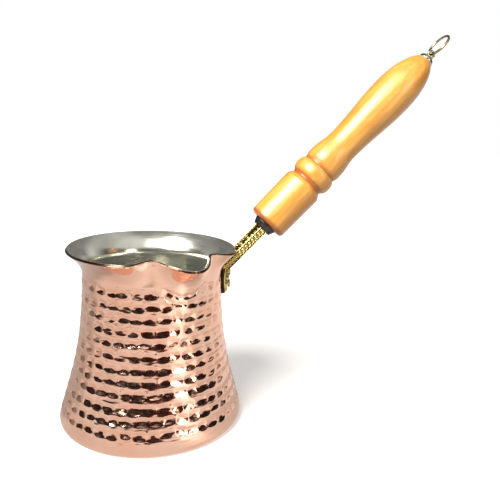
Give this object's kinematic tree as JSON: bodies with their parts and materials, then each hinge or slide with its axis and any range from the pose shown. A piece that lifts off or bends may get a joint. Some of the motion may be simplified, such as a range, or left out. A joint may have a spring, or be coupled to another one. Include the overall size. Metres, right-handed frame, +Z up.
{
  "type": "turkish coffee pot",
  "caption": "Tinned, hammered copper coffee pot with flared rim, pinched pouring lip, riveted cast arm, turned wooden grip and a swinging hanging ring.",
  "frame": {"origin": "middle of the base's underside, on the pot's axis", "axes": "+Z up the pot's axis, +X towards the handle, which lies in the XZ plane and rises at 46.5 degrees; the pouring lip points 69.5 degrees clockwise from the handle, seen from above"},
  "size_m": [0.2009, 0.093, 0.2049],
  "materials": {
    "copper": "polished",
    "tin": "polished",
    "cast_brass": "polished",
    "rivet_brass": "polished",
    "dark_steel": "satin",
    "varnished_wood": "gloss",
    "plated_steel": "polished",
    "rod_steel": "satin"
  },
  "bodies": {
    "pot": {"pot_body": "copper", "tin_lining": "tin", "handle_bracket": "cast_brass", "rivet_upper": "rivet_brass", "rivet_lower": "rivet_brass", "collar": "dark_steel", "wood_grip": "varnished_wood", "tie_rod": "rod_steel", "end_cap": "plated_steel", "hanging_eye": "plated_steel"},
    "ring": {"hanging_ring": "plated_steel"}
  },
  "joints": [
    {"name": "ring_swing", "type": "hinge", "parent": "pot", "child": "ring", "pos_m": [0.14569, 0, 0.19417], "axis": [0, 1, 0], "range_deg": [-135, 145]}
  ]
}
